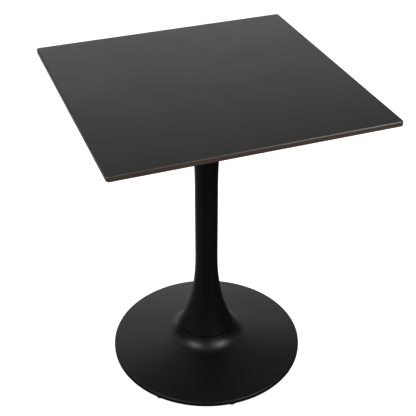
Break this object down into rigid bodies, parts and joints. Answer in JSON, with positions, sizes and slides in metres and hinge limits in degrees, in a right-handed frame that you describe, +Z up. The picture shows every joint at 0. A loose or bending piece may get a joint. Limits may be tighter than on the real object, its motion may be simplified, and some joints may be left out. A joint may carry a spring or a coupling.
{
  "type": "bistro table",
  "caption": "Square bistro table: thin black laminate top with a brown edge on a waisted tulip column and a round domed base with levelling glides.",
  "frame": {"origin": "on the floor at the middle of the round base", "axes": "+Z up along the column; the top's edges run along X and Y; -Y is the front edge that the picture shows"},
  "size_m": [0.6, 0.6, 0.726],
  "materials": {
    "decor_black": "satin black melamine decor of a compact laminate board",
    "laminate_core": "sawn and sanded brown phenolic paper core",
    "powder_coat_black": "satin black powder coat with a fine texture",
    "casting_black": "black painted casting, slightly rough",
    "zinc_steel": "bright zinc plate",
    "insert_brass": "turned brass",
    "gasket_rubber": "matt black rubber",
    "glide_nylon": "black nylon"
  },
  "bodies": {
    "table": {"ballast_plate": "casting_black", "base_cover": "powder_coat_black", "board_insert_1": "insert_brass", "board_insert_2": "insert_brass", "board_insert_3": "insert_brass", "board_insert_4": "insert_brass", "column_foot_plug": "casting_black", "column_gasket": "gasket_rubber", "column_shell": "powder_coat_black", "spider_screw_1": "zinc_steel", "spider_screw_2": "zinc_steel", "spider_screw_3": "zinc_steel", "spider_screw_4": "zinc_steel", "spider_washer_1": "zinc_steel", "spider_washer_2": "zinc_steel", "spider_washer_3": "zinc_steel", "spider_washer_4": "zinc_steel", "tabletop_backing_sheet": "decor_black", "tabletop_core": "laminate_core", "tabletop_face_sheet": "decor_black", "tie_rod": "zinc_steel", "tie_rod_bottom_nut": "zinc_steel", "tie_rod_bottom_washer": "zinc_steel", "tie_rod_top_nut": "zinc_steel", "tie_rod_top_washer": "zinc_steel", "top_spider": "casting_black"},
    "pad_1": {"glide_pad_1": "glide_nylon"},
    "stud_1": {"glide_stud_1": "zinc_steel"},
    "pad_2": {"glide_pad_2": "glide_nylon"},
    "stud_2": {"glide_stud_2": "zinc_steel"},
    "pad_3": {"glide_pad_3": "glide_nylon"},
    "stud_3": {"glide_stud_3": "zinc_steel"},
    "pad_4": {"glide_pad_4": "glide_nylon"},
    "stud_4": {"glide_stud_4": "zinc_steel"},
    "pad_5": {"glide_pad_5": "glide_nylon"},
    "stud_5": {"glide_stud_5": "zinc_steel"},
    "pad_6": {"glide_pad_6": "glide_nylon"},
    "stud_6": {"glide_stud_6": "zinc_steel"},
    "pad_7": {"glide_pad_7": "glide_nylon"},
    "stud_7": {"glide_stud_7": "zinc_steel"},
    "pad_8": {"glide_pad_8": "glide_nylon"},
    "stud_8": {"glide_stud_8": "zinc_steel"}
  },
  "joints": [
    {"name": "glide_1_travel", "type": "slide", "parent": "table", "child": "pad_1", "axis": [0, 0, -1], "range_m": [0, 0.004]},
    {"name": "glide_1_turn", "type": "hinge", "parent": "pad_1", "child": "stud_1", "pos_m": [-0.0193, -0.22066, 0], "axis": [0, 0, -1], "range_deg": [0, 1152]},
    {"name": "glide_2_travel", "type": "slide", "parent": "table", "child": "pad_2", "axis": [0, 0, -1], "range_m": [0, 0.004]},
    {"name": "glide_2_turn", "type": "hinge", "parent": "pad_2", "child": "stud_2", "pos_m": [0.14238, -0.16968, 0], "axis": [0, 0, -1], "range_deg": [0, 1152]},
    {"name": "glide_3_travel", "type": "slide", "parent": "table", "child": "pad_3", "axis": [0, 0, -1], "range_m": [0, 0.004]},
    {"name": "glide_3_turn", "type": "hinge", "parent": "pad_3", "child": "stud_3", "pos_m": [0.22066, -0.0193, 0], "axis": [0, 0, -1], "range_deg": [0, 1152]},
    {"name": "glide_4_travel", "type": "slide", "parent": "table", "child": "pad_4", "axis": [0, 0, -1], "range_m": [0, 0.004]},
    {"name": "glide_4_turn", "type": "hinge", "parent": "pad_4", "child": "stud_4", "pos_m": [0.16968, 0.14238, 0], "axis": [0, 0, -1], "range_deg": [0, 1152]},
    {"name": "glide_5_travel", "type": "slide", "parent": "table", "child": "pad_5", "axis": [0, 0, -1], "range_m": [0, 0.004]},
    {"name": "glide_5_turn", "type": "hinge", "parent": "pad_5", "child": "stud_5", "pos_m": [0.0193, 0.22066, 0], "axis": [0, 0, -1], "range_deg": [0, 1152]},
    {"name": "glide_6_travel", "type": "slide", "parent": "table", "child": "pad_6", "axis": [0, 0, -1], "range_m": [0, 0.004]},
    {"name": "glide_6_turn", "type": "hinge", "parent": "pad_6", "child": "stud_6", "pos_m": [-0.14238, 0.16968, 0], "axis": [0, 0, -1], "range_deg": [0, 1152]},
    {"name": "glide_7_travel", "type": "slide", "parent": "table", "child": "pad_7", "axis": [0, 0, -1], "range_m": [0, 0.004]},
    {"name": "glide_7_turn", "type": "hinge", "parent": "pad_7", "child": "stud_7", "pos_m": [-0.22066, 0.0193, 0], "axis": [0, 0, -1], "range_deg": [0, 1152]},
    {"name": "glide_8_travel", "type": "slide", "parent": "table", "child": "pad_8", "axis": [0, 0, -1], "range_m": [0, 0.004]},
    {"name": "glide_8_turn", "type": "hinge", "parent": "pad_8", "child": "stud_8", "pos_m": [-0.16968, -0.14238, 0], "axis": [0, 0, -1], "range_deg": [0, 1152]}
  ],
  "couplings": [
    {"joint": "glide_1_turn", "follows": "glide_1_travel", "rad_per_m": 5026.5},
    {"joint": "glide_2_turn", "follows": "glide_2_travel", "rad_per_m": 5026.5},
    {"joint": "glide_3_turn", "follows": "glide_3_travel", "rad_per_m": 5026.5},
    {"joint": "glide_4_turn", "follows": "glide_4_travel", "rad_per_m": 5026.5},
    {"joint": "glide_5_turn", "follows": "glide_5_travel", "rad_per_m": 5026.5},
    {"joint": "glide_6_turn", "follows": "glide_6_travel", "rad_per_m": 5026.5},
    {"joint": "glide_7_turn", "follows": "glide_7_travel", "rad_per_m": 5026.5},
    {"joint": "glide_8_turn", "follows": "glide_8_travel", "rad_per_m": 5026.5}
  ]
}
